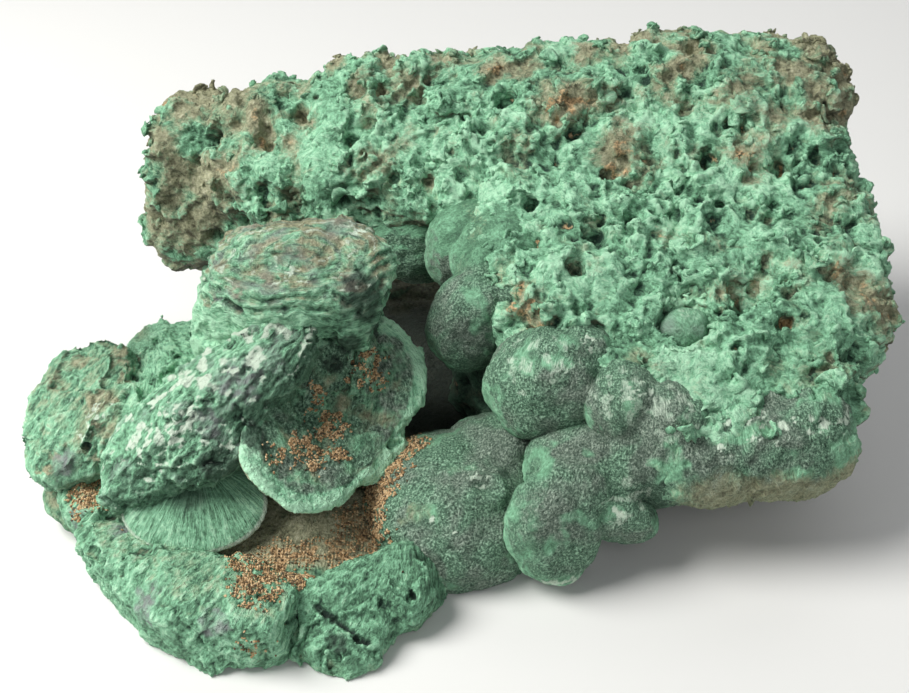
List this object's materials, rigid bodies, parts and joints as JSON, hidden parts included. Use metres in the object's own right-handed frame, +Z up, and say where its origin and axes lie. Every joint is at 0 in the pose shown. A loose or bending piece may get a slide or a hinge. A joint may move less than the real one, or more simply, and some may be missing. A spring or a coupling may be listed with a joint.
{
  "type": "malachite specimen",
  "caption": "Natural malachite hand specimen: a thick crusty slab over a lower plate, with velvet round lobes and a stack of fibrous blades and fans. Rests on a flat underside.",
  "frame": {"origin": "on the flat resting face, under the middle of the stone's plan box", "axes": "+X along the thick upper slab, from the blade stack towards the crusty end; -Y towards the velvet lobes and the front ridge; +Z up from the resting face"},
  "size_m": [0.0989, 0.074, 0.0407],
  "materials": {
    "malachite": "dull green crystalline crust with velvet lobes, pale rims and ochre earth in its hollows"
  },
  "bodies": {
    "root": {"malachite_specimen": "malachite"}
  },
  "joints": []
}
